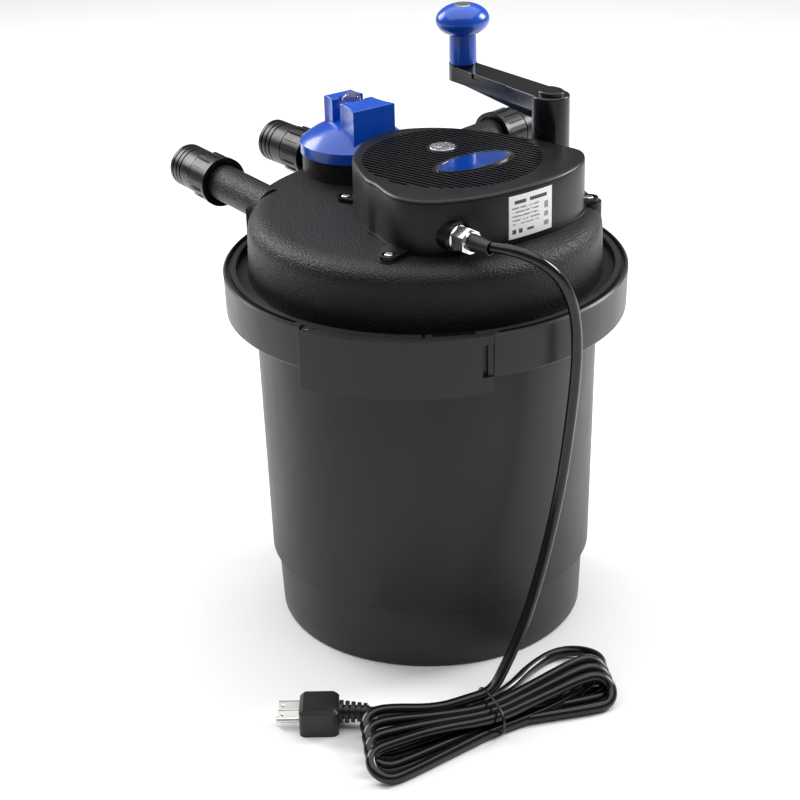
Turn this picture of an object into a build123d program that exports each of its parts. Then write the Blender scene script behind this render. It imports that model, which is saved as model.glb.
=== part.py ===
from build123d import *
import os
from math import acos, atan2, cos, degrees, floor, pi, radians, sin, sqrt, tan

# Pressurised pond filter with a built-in UV lamp. Millimetres, +Z up.
# Origin: the middle of the bucket's underside. -Y is the side with the latch.

# ---------------------------------------------------------------- driving sizes
BAND_TOP_R = 160.0          # clamp band, outside, at its upper edge
BAND_BOTTOM_R = 158.5       # clamp band, outside, at its lower edge
BAND_Z = (265.0, 300.0)
FLANGE_R = 152.0            # rims of the bucket and the lid, held inside the band
LIP_R = 149.0               # inner edge of the band's upper lip
LID_WALL = 4.0
LID_R = 139.5               # lid's wall, outside, at half height
LID_TOP = 346.0
LID_SHOULDER = 329.0        # where the lid's wall starts to round over
COVER_TOP = 388.0
FIT = 0.06                  # running clearance of a shaft in its bore, on the radius
GAP = 0.4                   # clearance between pieces that only pass each other

LATCH_Z = (254.0, 300.0)
LATCH_PIN_ANGLE = -123.1
LATCH_PIN_R = 161.5

VALVE_X, VALVE_Y = -57.0, 90.0
DIAL_R = 43.0
DIAL_Z = (361.5, 372.5)     # the dial's straight rim
GRIP_TOP = 405.0
TOWER_R = 41.5             # valve tower under the dial

GEAR_MODULE = 3.0
WHEEL_TEETH = 62
PINION_TEETH = 13
PRESSURE_ANGLE = 25.0
GEAR_Z = (296.0, 306.0)
CRANK_ANGLE = 25.9          # direction of the crank shaft from the middle axis
KNOB_X, KNOB_Y = 34.0, 135.4

PIPE_R = 15.0
PIPE_BORE_R = 11.0
NUT_LENGTH = 27.0
TAIL_R = 18.0               # outside of a hose tail, where the hose goes on
NECK_R = 14.5               # its neck, inside the union nut
TAIL_BORE_R = 14.8
TAIL_SHOWN = 31.0

CORD_D = 8.5
CORD_R = CORD_D / 2

os.makedirs("parts", exist_ok=True)
UP = (Align.CENTER, Align.CENTER, Align.MIN)
saved = []


def save(name, *solids):
    """Write one piece, or one group of like pieces, to its own STEP file."""
    shape = solids[0] if len(solids) == 1 else Compound(list(solids))
    shape.label = name
    export_step(shape, f"parts/{name}.step")
    saved.append(name)


def rod(radius, z_low, z_high, x=0.0, y=0.0):
    return Pos(x, y, z_low) * Cylinder(radius, z_high - z_low, align=UP)


def ring(r_in, r_out, z_low, z_high, x=0.0, y=0.0):
    return rod(r_out, z_low, z_high, x, y) - rod(r_in, z_low - 1, z_high + 1, x, y)


def turned(*points):
    """Solid of revolution about Z from corners given as (radius, height)."""
    return revolve(Plane.XZ * make_face(Polyline(*points, close=True)), Axis.Z)


def block(x_size, y_size, z_low, z_high, x=0.0, y=0.0, turn=0.0):
    body = Box(x_size, y_size, z_high - z_low, align=UP)
    return Pos(x, y, z_low) * (Rot(0, 0, turn) * body)


def prism(outline, z_low, z_high):
    return Pos(0, 0, z_low) * extrude(make_face(outline), z_high - z_low)


def polar(radius, angle):
    return (radius * cos(radians(angle)), radius * sin(radians(angle)))


def sector(r_in, r_out, start, end, z_low, z_high):
    """Part of a ring between two angles, for cutting or adding."""
    middle = (start + end) / 2
    outline = (
        Polyline(polar(r_in, start), polar(r_out, start))
        + ThreePointArc(polar(r_out, start), polar(r_out, middle), polar(r_out, end))
        + Polyline(polar(r_out, end), polar(r_in, end))
        + ThreePointArc(polar(r_in, end), polar(r_in, middle), polar(r_in, start))
    )
    return prism(outline, z_low, z_high)


def along(point, direction, start=0.0):
    """Plane whose Z runs along a horizontal direction, its origin moved by start."""
    length = sqrt(direction[0] ** 2 + direction[1] ** 2)
    unit = (direction[0] / length, direction[1] / length, 0.0)
    origin = tuple(point[i] + unit[i] * start for i in range(3))
    return Plane(origin=origin, x_dir=(0, 0, 1), z_dir=unit)


def lying(plane, radius, start, end):
    return plane * (Pos(0, 0, start) * Cylinder(radius, end - start, align=UP))


# ---------------------------------------------------------------- bucket
def make_bucket():
    low_r, step_r, high_r = 124.0, 126.5, 136.0
    outer = [(0, 0), (low_r - 3, 0), (low_r - 1, 1), (low_r, 3), (step_r, 53)]
    outer += [(step_r + 4.5, 56.5), (high_r, 268), (high_r + 2.5, 270)]
    outer += [(FLANGE_R, 270), (FLANGE_R, 280), (132.5, 280), (132.3, 265)]
    inner = [(step_r + 1.3, 57.0), (step_r - 3.4, 53.8), (low_r - 3.3, 4.5), (low_r - 5, 3.5)]
    shell = turned(*outer, *inner, (0, 3.5))
    post = rod(12, 3, 52)
    body = shell + post
    for angle in (0, 90, 180, 270):
        body += Rot(0, 0, angle) * block(80, 3, 2, 30, x=50)
    return body


def make_lid_seal():
    return ring(141.0, 148.0, 280, 284)


# ---------------------------------------------------------------- ports
PORTS = {
    # name: point on the pipe's axis at the middle of its nut, direction outwards
    "inlet": ((-173.2, 113.5, 331.0), (-0.58, 0.815)),
    "return": ((-101.0, 177.7, 331.0), (-0.644, 0.765)),
    "waste": ((69.2, 219.2, 331.0), (0.68, 0.73)),
}


def port_plane(name):
    return along(*PORTS[name])


def wall_start(name, radius):
    """Distance along a pipe's axis, from its nut, where it crosses a circle."""
    (px, py, _), (dx, dy) = PORTS[name]
    length = sqrt(dx * dx + dy * dy)
    dx, dy = dx / length, dy / length
    towards = px * dx + py * dy
    return -towards + sqrt(towards ** 2 - (px * px + py * py - radius ** 2))


PIPE_END = 2.0              # the pipe's mouth, from the middle of the nut
TAIL_END = NUT_LENGTH / 2 + TAIL_SHOWN


def make_tail(name):
    """Hose tail: flange inside the nut, plain stretch, grooved end."""
    plane = port_plane(name)
    start = NUT_LENGTH / 2 + GAP
    body = lying(plane, TAIL_R, start, TAIL_END)
    body = chamfer(body.edges().sort_by(Axis(plane.origin, plane.z_dir))[-1], 1.2)
    for back in (6.0, 11.5, 17.0):
        cut = lying(plane, TAIL_R + 1, TAIL_END - back, TAIL_END - back + 1.6)
        body -= cut - lying(plane, TAIL_R - 1.2, TAIL_END - back - 1, TAIL_END - back + 3)
    body += lying(plane, 16.5, PIPE_END + 2, PIPE_END + 5) + lying(plane, NECK_R, PIPE_END + 5, start)
    body -= lying(plane, TAIL_BORE_R, start + 2.5, TAIL_END + 1)
    return body - lying(plane, PIPE_BORE_R, PIPE_END, TAIL_END)


def make_union_seal(name):
    plane = port_plane(name)
    washer = lying(plane, 15.5, PIPE_END, PIPE_END + 2)
    return washer - lying(plane, PIPE_BORE_R + 0.5, PIPE_END - 1, PIPE_END + 3)


def make_union_nut(name):
    """Ribbed union nut with an inner shoulder that pulls the tail in."""
    plane = port_plane(name)
    half = NUT_LENGTH / 2
    body = lying(plane, 18.6, -half, half)
    body = chamfer(body.edges().sort_by(Axis(plane.origin, plane.z_dir))[-1], 1.5)
    body += lying(plane, 20.6, -half, -half + 4)
    rib = Pos(18.4, 0, -half + 3) * Box(3.2, 3.6, NUT_LENGTH - 6, align=UP)
    for k in range(16):
        body += plane * (Rot(0, 0, k * 22.5) * rib)
    body -= lying(plane, 17.0, -half - 1, PIPE_END + 5 + GAP)
    return body - lying(plane, NECK_R + GAP, -half, half + 1)


# ---------------------------------------------------------------- lid
def dome(grow, z_low):
    """Outside of the lid, grown or shrunk by an amount, as a solid."""
    r, top = LID_R + grow, LID_TOP + grow
    low, high = LID_SHOULDER, top - 0.7
    side = (
        Polyline((0, z_low), (r + 0.7, z_low), (r - 0.5, low))
        + Bezier((r - 0.5, low), (r - 0.9, high - 6.5), (r - 7, high - 0.6), (r - 19, high))
        + Polyline((r - 19, high), (0, top), (0, z_low))
    )
    return revolve(Plane.XZ * make_face(side), Axis.Z)


def crank_spot():
    distance = GEAR_MODULE * (WHEEL_TEETH + PINION_TEETH) / 2
    return polar(distance, CRANK_ANGLE)


CRANK_X, CRANK_Y = crank_spot()
JOURNAL_R = 30.0
SLEEVE_R = 20.0


BOSS_R = 10.0               # bosses in the lid that take the housing's screws
WEB_ANGLE = 164.0           # upright web under the root of the inlet pipe


def make_lid_saddle():
    """Flat-topped shoulder that carries the roots of the inlet and return pipes."""
    saddle = sector(100, LID_R - 2, 118, 161, 318, LID_TOP - 0.8)
    rim = saddle.edges().filter_by(GeomType.CIRCLE).group_by(Axis.Z)[-1].sort_by(SortBy.LENGTH)[-1]
    return fillet(rim, 4.0)


def make_lid():
    body = dome(0, 284) + ring(126.5, FLANGE_R, 284, 294) + ring(126.5, 129.5, 272, 285)
    # valve tower and the crank's boss stand on the dome
    body += rod(TOWER_R, 322, 361, VALVE_X, VALVE_Y)
    body += rod(35.5, 360, 369, VALVE_X, VALVE_Y)
    body += rod(16.5, 330, 362, CRANK_X, CRANK_Y)
    body += make_lid_saddle()
    for x, y in LUGS:
        body += rod(BOSS_R, LID_SHOULDER - 14, LID_TOP - 0.4, x, y)
    for name in PORTS:
        plane = port_plane(name)
        start = wall_start(name, LID_R - 12)
        body += lying(plane, PIPE_R, start, PIPE_END)
        body += lying(plane, 16.4, -11, PIPE_END)
    body += radial_strip(4.0, LID_R - 6, LIP_R - 0.7, WEB_ANGLE, 293, 331)
    # hollow inside, with the neck that the carousel turns on
    hollow = dome(-LID_WALL, 283) - rod(TOWER_R, 322, 362, VALVE_X, VALVE_Y)
    for x, y in LUGS:
        hollow -= rod(BOSS_R, LID_SHOULDER - 14, 352, x, y)
    hollow -= ring(126.5, 142, 282, 290)
    hollow -= rod(14, 312, 352, CRANK_X, CRANK_Y)
    hollow -= rod(JOURNAL_R, 290, 352)
    body -= hollow
    body -= rod(34, 326, 370, VALVE_X, VALVE_Y)
    for angle in (-48, 132):
        hole_x, hole_y = polar(17, angle)
        body -= rod(9, 320, 328, VALVE_X + hole_x, VALVE_Y + hole_y)
    body -= rod(7 + FIT, 300, 370, CRANK_X, CRANK_Y)
    body -= rod(SLEEVE_R + 0.5, 280, 360)
    for x, y in LUGS:
        body -= rod(2.0, HEAD_Z - 10, 352, x, y)
    body -= rod(27, 280, LID_TOP - 6)
    for name in PORTS:
        reach = 120 if name == "inlet" else 126
        body -= lying(port_plane(name), PIPE_BORE_R, wall_start(name, reach), PIPE_END + 1)
    return body


# ---------------------------------------------------------------- clamp band and latch
def band_profile():
    low, high = BAND_Z
    return turned(
        (139.2, low + 1), (141.0, low), (BAND_BOTTOM_R - 1, low), (BAND_BOTTOM_R, low + 1),
        (BAND_BOTTOM_R + 0.2, low + 3), (BAND_TOP_R - 0.3, high - 1.5), (BAND_TOP_R - 1.5, high),
        (LIP_R + 0.6, high), (LIP_R, high - 0.6), (LIP_R, high - 5.6),
        (FLANGE_R + 0.6, high - 5.6), (FLANGE_R + 0.6, low + 4.6), (139.2, low + 4.6),
    )


PIN_X, PIN_Y = polar(LATCH_PIN_R, LATCH_PIN_ANGLE)
LATCH_LEFT = -124.55        # left end of the lever, just past its pin
LATCH_TIP = -72.2
FLOOR_R = 156.2             # band's outside where the lever lies over it


def radial_strip(width, r_in, r_out, angle, z_low, z_high):
    length = r_out - r_in
    return Rot(0, 0, angle) * block(length, width, z_low, z_high, x=(r_in + r_out) / 2)


def make_band():
    low, high = BAND_Z
    body = band_profile()
    body -= sector(153.8, 157.2, LATCH_TIP + 2.0, 360 + LATCH_LEFT - 4, high - 4, high + 1)
    # flat seat under the lever, with a finger scoop at the lever's free end
    body -= sector(FLOOR_R, 170, LATCH_LEFT - 1.5, LATCH_TIP + 0.25, low - 1, high + 1)
    body -= rod(7.7, low - 1, high + 1, PIN_X, PIN_Y) - rod(FLOOR_R, low - 2, high + 2)
    for z_low, z_high in ((low, low + 5), (high - 5, high)):
        ear = rod(3.8, z_low, z_high, PIN_X, PIN_Y)
        ear += radial_strip(7.6, 154, LATCH_PIN_R, LATCH_PIN_ANGLE, z_low, z_high)
        body += ear
    body -= rod(1.65, low + 1, high + 1, PIN_X, PIN_Y)
    # the split, and the slot that the hook of the latch shows through
    body -= radial_strip(2.4, 130, 170, -90.9, low - 1, high + 1)
    body -= sector(149.9, 154.2, -88.4, -76.4, high - 3.2, high + 1)
    return body


def make_latch_pin():
    low, high = BAND_Z
    return rod(1.6, low + 1.2, high - 0.4, PIN_X, PIN_Y)


def make_latch_lever():
    """Bowed plate, thick at its hinge and thin at its finger end."""
    low, high = LATCH_Z
    back_r = FLOOR_R + GAP
    left_out, tip_out = polar(167.4, LATCH_LEFT), polar(160.6, LATCH_TIP)
    mid_out = polar(164.4, -97.0)
    left_in, tip_in = polar(back_r, -121.2), polar(back_r, LATCH_TIP)
    outline = (
        ThreePointArc(left_out, mid_out, tip_out)
        + Polyline(tip_out, tip_in)
        + ThreePointArc(tip_in, polar(back_r, -96), left_in)
        + Polyline(left_in, polar(LATCH_PIN_R, -121.7), polar(165.7, LATCH_LEFT + 0.02), left_out)
    )
    body = prism(outline, low, high)
    corners = body.edges().filter_by(Axis.Z).sort_by(Axis.X)[0]
    body = fillet(corners, 0.5)
    body += rod(3.7, BAND_Z[0] + 5 + GAP, BAND_Z[1] - 5 - GAP, PIN_X, PIN_Y)
    body -= rod(1.6 + FIT, low - 1, high + 1, PIN_X, PIN_Y)
    for z_low, z_high in ((BAND_Z[0] - GAP, BAND_Z[0] + 5 + GAP), (BAND_Z[1] - 5 - GAP, BAND_Z[1] + 1)):
        body -= rod(4.15, z_low, z_high, PIN_X, PIN_Y)
        strip = radial_strip(8.3, 150, LATCH_PIN_R, LATCH_PIN_ANGLE, z_low, z_high)
        body -= strip
    # finger notch at the free end, with a lower bar across it
    notch = (BAND_Z[0] + 2, BAND_Z[1] - 7)
    body -= sector(150, 170, LATCH_TIP - 3.2, LATCH_TIP + 1, *notch)
    return body + sector(back_r, back_r + 2.4, LATCH_TIP - 1.5, LATCH_TIP, notch[0] - 1, notch[1] + 1)


# ---------------------------------------------------------------- lamp housing
COVER_POINTS = [
    (-54, -18), (-53, 12), (-44, 38), (-24, 58), (0, 64.5), (27, 61), (58, 48), (92, 27),
    (118, 6), (124, -14), (114, -42), (88, -71), (58, -93), (24, -107), (-2, -109), (-20, -99), (-36, -70),
]
LUGS = [(-26.5, -112.5), (128.5, 1.5), (-61.5, 15.5), (34.0, 68.0)]
LUG_R = 7.5
SKIRT_Z = 347.6             # top of the housing's narrow skirt
DISC_X, DISC_Y, DISC_R = 22.0, -12.0, 69.5
RIB_PITCH = 4.6
RIB_TURN = -37.0            # the grooves' direction
GLAND_POINT, GLAND_TURN = (21.5, -107.5, 360.0), -46.0


def cover_outline(inset):
    """Smooth closed outline through the points, moved inwards by inset."""
    corners = [Vector(x, y) for x, y in COVER_POINTS]
    count = len(corners)
    tangents, places = [], []
    for i, here in enumerate(corners):
        tangent = (corners[(i + 1) % count] - corners[i - 1]).normalized()
        tangents.append(tangent)
        places.append(here + Vector(tangent.Y, -tangent.X) * inset)
    edges = []
    for first, last in ((0, 4), (4, 9), (9, 13), (13, count)):
        stretch = [places[i % count] for i in range(first, last + 1)]
        edges.append(Spline(*stretch, tangents=(tangents[first], tangents[last % count])))
    return edges


def cover_solid(inset, z_low, z_high):
    return Pos(0, 0, z_low) * extrude(make_face(cover_outline(inset)), z_high - z_low)


def gland_plane():
    return along(GLAND_POINT, polar(1.0, GLAND_TURN))


def make_cover():
    body = cover_solid(0, 338, COVER_TOP)
    body = fillet(body.faces().sort_by(Axis.Z)[-1].edges(), 3.0)
    body += cover_solid(-1.2, 338, SKIRT_Z)
    for x, y in LUGS:
        towards = atan2(DISC_Y - y, DISC_X - x)
        x_in, y_in = x + 14 * cos(towards), y + 14 * sin(towards)
        tongue = make_hull((Pos(x, y) * Circle(LUG_R)).edges() + (Pos(x_in, y_in) * Circle(LUG_R + 3)).edges()).edges()
        body += prism(tongue, 338, HEAD_Z + 1.4)
    body += lying(gland_plane(), 11.5, -8, 2.5)
    body -= lying(gland_plane(), 12, 2.5, 16)
    body -= cover_solid(3.0, 330, COVER_TOP - 3)
    body -= dome(0.05, 280)
    for x, y in LUGS:
        body -= rod(BOSS_R + 0.1, 330, LID_TOP - 0.4, x, y)
        body -= rod(LUG_R - 2.0, HEAD_Z, HEAD_Z + 3, x, y)
        body -= rod(2.2, 330, 360, x, y)
    body -= rod(17.1, 330, 363, CRANK_X, CRANK_Y)
    body -= rod(TOWER_R + 1, 330, 364, VALVE_X, VALVE_Y)
    body -= lying(gland_plane(), 6.0, -20, 5)
    # round grille of straight ribs in the top
    island = rod(12.5, COVER_TOP - 2, COVER_TOP + 2, *SIGHT) + badge_solid(3.0, COVER_TOP - 2, COVER_TOP + 2)
    count = floor(DISC_R / RIB_PITCH)
    for k in range(-count, count + 1):
        shift = k * RIB_PITCH
        x = DISC_X - shift * sin(radians(RIB_TURN))
        y = DISC_Y + shift * cos(radians(RIB_TURN))
        length = 2 * sqrt(max(DISC_R ** 2 - shift ** 2, 60.0))
        body -= block(length, 2.5, COVER_TOP - 1.4, COVER_TOP + 1, x, y, RIB_TURN) - island
    body -= rod(10.3, COVER_TOP - 1.5, COVER_TOP + 1, *SIGHT)
    body -= rod(7.0, COVER_TOP - 4, COVER_TOP + 1, *SIGHT)
    body -= badge_solid(0.1, COVER_TOP - 1.2, COVER_TOP + 1)
    return body


SIGHT = (15.0, 13.5)
BADGE_X, BADGE_Y, BADGE_TURN = 38.5, -23.5, 37.0
BADGE_LONG, BADGE_WIDE = 34.3, 15.9


def badge_solid(grow, z_low, z_high):
    oval = extrude(make_face(Ellipse(BADGE_LONG + grow, BADGE_WIDE + grow).edges()), z_high - z_low)
    return Pos(BADGE_X, BADGE_Y, z_low) * (Rot(0, 0, BADGE_TURN) * oval)


def make_badge_rim():
    return badge_solid(0, COVER_TOP - 1.2, COVER_TOP + 1.0) - badge_solid(-2.2, COVER_TOP, COVER_TOP + 2)


def make_badge():
    return badge_solid(-2.25, COVER_TOP, COVER_TOP + 0.8)


def make_sight_window():
    body = rod(10.2, COVER_TOP - 1.5, COVER_TOP + 0.6, *SIGHT)
    body = fillet(body.edges().sort_by(Axis.Z)[-1], 0.5)
    return body + rod(6.9, COVER_TOP - 3.9, COVER_TOP - 1.4, *SIGHT)


def make_rating_label():
    """Thin plate bedded on the housing's front right wall."""
    band = cover_solid(-0.5, 344, 384) - cover_solid(0, 340, 385)
    window = block(42, 40, 349.5, 383.0, *LABEL_AT, LABEL_TURN)
    return band & window


LABEL_AT, LABEL_TURN = (79.2, -78.0), 37.6
HEAD_Z = 347.4              # seat of the screw heads, in the lugs' recesses


def make_cover_screws():
    screws = []
    for x, y in LUGS:
        screw = rod(3.7, HEAD_Z, HEAD_Z + 2.0, x, y)
        screw = fillet(screw.edges().sort_by(Axis.Z)[-1], 1.2)
        screw += rod(1.95, HEAD_Z - 9, HEAD_Z + 0.5, x, y)
        slot_a = block(4.0, 0.9, HEAD_Z + 1.1, HEAD_Z + 3, x, y, 30)
        screws.append(screw - slot_a - block(0.9, 4.0, HEAD_Z + 1.1, HEAD_Z + 3, x, y, 30))
    return screws


def make_gland_body():
    plane = gland_plane()
    body = lying(plane, 5.9, -8, 3) + lying(plane, 9.4, 2.5, 4.5)
    body += plane * (Pos(0, 0, 4.5) * extrude(RegularPolygon(9.6, 6), 4.0))
    body += lying(plane, 7.6, 8.5, 12)
    return body - lying(plane, CORD_R, -10, 14)


def make_gland_nut():
    """Hexagon nut that squeezes the seal onto the cord."""
    plane = gland_plane()
    body = plane * (Pos(0, 0, 9.2) * extrude(RegularPolygon(10.2, 6), 8.0))
    body += lying(plane, 8.4, 17.2, 19.4)
    body -= lying(plane, 7.7, 9, 12.2)
    return body - lying(plane, CORD_R + 1.2, 9, 21)


def make_gland_boot():
    """Tapered rubber sleeve round the cord."""
    plane = gland_plane()
    body = lying(plane, CORD_R + 1.1, 12.5, 19.4)
    taper = plane * (Pos(0, 0, 19.4) * Cone(CORD_R + 2.6, CORD_R + 0.9, 18.0, align=UP))
    return body + taper - lying(plane, CORD_R, 12, 38)


def make_ballast():
    box = block(62, 34, 353, 378, 54, -34)
    return fillet(box.edges().filter_by(Axis.Z), 3)


def make_sleeve_seal():
    return ring(SLEEVE_R, 26, LID_TOP + 0.1, LID_TOP + 2.4)


def make_quartz_sleeve():
    """Clear tube, closed at its lower end, that keeps the lamp dry."""
    body = rod(SLEEVE_R, 130, LID_TOP + 4) + Pos(0, 0, 130) * Sphere(SLEEVE_R)
    body += rod(25, LID_TOP + 2.4, LID_TOP + 5)
    body -= rod(SLEEVE_R - 1.8, 130, 356)
    return body - Pos(0, 0, 130) * Sphere(SLEEVE_R - 1.8)


def make_lamp_socket():
    low = LID_TOP + 5.2
    return rod(17.5, low, low + 20) + rod(23, low, low + 3) - rod(8, low - 5, low + 8)


def make_uv_lamp():
    tubes = [rod(6, 140, 336, x, 0) for x in (-7.2, 7.2)]
    bridge = Pos(0, 0, 150) * (Rot(0, 90, 0) * Cylinder(3, 12))
    return tubes[0] + tubes[1] + bridge + rod(16, 334, LID_TOP + 5) + rod(7.6, LID_TOP + 4, LID_TOP + 12)


# ---------------------------------------------------------------- valve
def make_dial():
    """Blue turning cap with a thick and a thin finger wall beside the dome."""
    low, high = DIAL_Z
    outline = (
        Polyline((0, low), (DIAL_R - 1.0, low), (DIAL_R, low + 1.0), (DIAL_R, high - 1.2), (DIAL_R - 1.6, high))
        + ThreePointArc((DIAL_R - 1.6, high), (32, high + 6.8), (20, high + 12))
        + Polyline((20, high + 12), (10, 388), (0, 388), (0, low))
    )
    body = revolve(Plane.XZ * make_face(outline), Axis.Z)
    body += finger_wall(6.0, 32.0, 15.4, 20.0)
    body += Rot(0, 0, 180) * finger_wall(6.0, 20.5, 15.0, 13.4)
    body -= rod(DIAL_R - 2.6, low - 1, high - 1)
    body -= rod(3.2, 360, 400)
    body -= rod(10.4, 388, 410)
    return Pos(VALVE_X, VALVE_Y, 0) * body


GRIP_TURN = -55.0           # the thick wall's direction from the dial's middle


def finger_wall(near, far, near_half, far_half):
    """Upright wall, wider away from the middle, with hollowed flanks."""
    mid, waist = (near + far) / 2, (near_half + far_half) / 2 - 1.2
    outline = (
        Polyline((near, -near_half), (near, near_half))
        + ThreePointArc((near, near_half), (mid, waist), (far, far_half))
        + Polyline((far, far_half), (far, -far_half))
        + ThreePointArc((far, -far_half), (mid, -waist), (near, -near_half))
    )
    wall = prism(outline, DIAL_Z[1] - 1, GRIP_TOP)
    wall = fillet(wall.faces().sort_by(Axis.Z)[-1].edges(), 1.0)
    shadow = rod(DIAL_R - 1.5, DIAL_Z[1] - 2, GRIP_TOP + 1)
    return Rot(0, 0, GRIP_TURN) * (wall & shadow)


def make_dial_dome():
    body = Pos(0, 0, 403.4) * Sphere(7.5) + rod(5.2, 388.2, 400) + rod(3.0, 380, 389)
    return Pos(VALVE_X, VALVE_Y, 0) * body


def make_valve_rotor():
    """Ported drum under the dial that opens one way at a time."""
    body = rod(33.6, 331, 352) + rod(8, 351, 371) + rod(24, 369.5, 371.2)
    for angle in (-48, 132):
        x, y = polar(17, angle)
        body -= rod(9, 330, 353, x, y)
    body -= rod(3.2, 366, 372)
    return Pos(VALVE_X, VALVE_Y, 0) * body


def make_valve_seal():
    body = ring(20, 33.4, 326.2, 328.4) - rod(9.5, 320, 330, *polar(17, -48))
    return Pos(VALVE_X, VALVE_Y, 0) * (body - rod(9.5, 320, 330, *polar(17, 132)))


# ---------------------------------------------------------------- crank
COLUMN_Z = (362.6, 418.0)
ARM_Z = (405.5, 418.0)
HUB_R = 15.0
ARM_TURN = degrees(atan2(KNOB_Y - CRANK_Y, KNOB_X - CRANK_X))
ARM_LENGTH = sqrt((KNOB_X - CRANK_X) ** 2 + (KNOB_Y - CRANK_Y) ** 2)
COLLAR_TOP = 419.5
KNOB_Z = 455.5              # middle of the grip's oval head


def make_crank_arm():
    """Hub column and arm in one moulding, made along +X from the hub."""
    low, high = ARM_Z
    body = rod(HUB_R, COLUMN_Z[0], COLUMN_Z[1])
    body = fillet(body.edges().sort_by(Axis.Z)[-1], 1.5)
    bar = prism(make_hull(Circle(13.5).edges() + (Pos(ARM_LENGTH, 0) * Circle(11.4)).edges()).edges(), low, high)
    bar -= block(44, 6.0, high - 4.5, high + 1, 62, 14.2, -1.1)
    body += fillet(bar.faces().sort_by(Axis.Z)[-1].edges(), 0.8)
    web = Polyline((8, low - 7.5), (ARM_LENGTH - 6, low + 0.5), (8, low + 0.5), (8, low - 7.5))
    body += extrude(Plane.XZ * make_face(web), 11.0, both=True)
    body += rod(11.6, low, COLLAR_TOP, ARM_LENGTH)
    body -= rod(4.0, low + 4, COLLAR_TOP + 1, ARM_LENGTH)
    body -= rod(7 + 0.02, COLUMN_Z[0] - 1, 400)
    return Pos(CRANK_X, CRANK_Y, 0) * (Rot(0, 0, ARM_TURN) * body)


def make_crank_cap():
    oval = extrude(make_face(Ellipse(12.2, 9.6).edges()), 3.4)
    oval = fillet(oval.edges().sort_by(Axis.Z)[-1], 1.4)
    return Pos(CRANK_X, CRANK_Y, COLUMN_Z[1]) * (Rot(0, 0, ARM_TURN) * oval)


def make_crank_shaft():
    body = rod(7, GEAR_Z[0] - 4, 400)
    return Pos(CRANK_X, CRANK_Y, 0) * body


def make_knob_pin():
    return rod(4.0, ARM_Z[0] + 4.1, KNOB_Z, KNOB_X, KNOB_Y) + rod(6.2, KNOB_Z, KNOB_Z + 2, KNOB_X, KNOB_Y)


def make_knob():
    """Blue grip: a waisted stem under an oval head."""
    low = COLLAR_TOP + GAP
    stem = turned((0, low), (11.2, low), (11.2, low + 3), (10.9, 446), (0, 446))
    head = scale(Sphere(1.0), by=(22.5, 19.5, 13.8))
    body = stem + Pos(0, 0, KNOB_Z) * (Rot(0, 0, 25) * head)
    body -= rod(4.0 + FIT, low - 5, KNOB_Z + 1)
    body -= rod(6.6, KNOB_Z - 0.4, KNOB_Z + 2.6)
    body -= rod(7.6, KNOB_Z + 11.2, KNOB_Z + 20)
    return Pos(KNOB_X, KNOB_Y, 0) * body


def make_knob_insert():
    body = rod(7.5, KNOB_Z + 11.3, KNOB_Z + 12.9)
    return Pos(KNOB_X, KNOB_Y, 0) * fillet(body.edges().sort_by(Axis.Z)[-1], 0.6)


# ---------------------------------------------------------------- gears
def involute_gear(teeth, z_low, z_high, backlash, first_angle):
    """Spur gear with stub teeth; one tooth stands at first_angle."""
    pitch_r = GEAR_MODULE * teeth / 2
    tip_r, root_r = pitch_r + 0.8 * GEAR_MODULE, pitch_r - 1.05 * GEAR_MODULE
    base_r = pitch_r * cos(radians(PRESSURE_ANGLE))

    def involute(radius):
        if radius <= base_r:
            return 0.0
        angle = acos(base_r / radius)
        return degrees(tan(angle) - angle)

    half_pitch = 90.0 / teeth - degrees(backlash / 2 / pitch_r)

    def flank(radius):
        return half_pitch + involute(pitch_r) - involute(radius)

    radii = [max(base_r, root_r) + (tip_r - max(base_r, root_r)) * k / 4 for k in range(5)]
    outline = []
    for tooth in range(teeth):
        middle = first_angle + 360.0 * tooth / teeth
        outline.append(polar(root_r, middle - flank(radii[0]) - 0.05 * half_pitch))
        outline += [polar(r, middle - flank(r)) for r in radii]
        outline += [polar(r, middle + flank(r)) for r in reversed(radii)]
        outline.append(polar(root_r, middle + flank(radii[0]) + 0.05 * half_pitch))
    return prism(Polyline(*outline, close=True), z_low, z_high)


def make_pinion():
    """Driven by the crank; a tooth points at the middle of the big wheel."""
    body = involute_gear(PINION_TEETH, *GEAR_Z, 0.5, CRANK_ANGLE + 180)
    return Pos(CRANK_X, CRANK_Y, 0) * (body - rod(7.0, 290, 310))


ROD_CIRCLE_R = 72.0
ROD_ANGLES = [45, 135, 225, 315]


def make_carousel_gear():
    """Top plate of the sponge carousel with teeth round its rim."""
    body = involute_gear(WHEEL_TEETH, *GEAR_Z, 0.5, CRANK_ANGLE + 180.0 / WHEEL_TEETH)
    body -= ring(40, 76, GEAR_Z[0] + 4, GEAR_Z[1] + 1)
    body += rod(36, GEAR_Z[0], GEAR_Z[1] + 4)
    for k in range(8):
        x, y = polar(57, 22.5 + 45 * k)
        body -= rod(12, 290, 320, x, y)
    body -= rod(JOURNAL_R + FIT, 290, 320)
    for angle in ROD_ANGLES:
        body -= rod(3.0, 290, 320, *polar(ROD_CIRCLE_R, angle))
    return body


def make_core_tube():
    """Slotted tube up the middle of the sponges."""
    body = ring(30.5, 33, 61, GEAR_Z[0])
    for row in range(5):
        for k in range(6):
            slot = block(10, 5, 76 + 43 * row, 106 + 43 * row, x=32)
            body -= Rot(0, 0, 60 * k + 30 * (row % 2)) * slot
    return body


FOAM_Z = [(63, 138), (140, 215), (217, 292)]


def make_foam(z_low, z_high):
    body = ring(33.3, 110, z_low, z_high)
    for angle in ROD_ANGLES:
        body -= rod(3.3, z_low - 1, z_high + 1, *polar(ROD_CIRCLE_R, angle))
    return body


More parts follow.
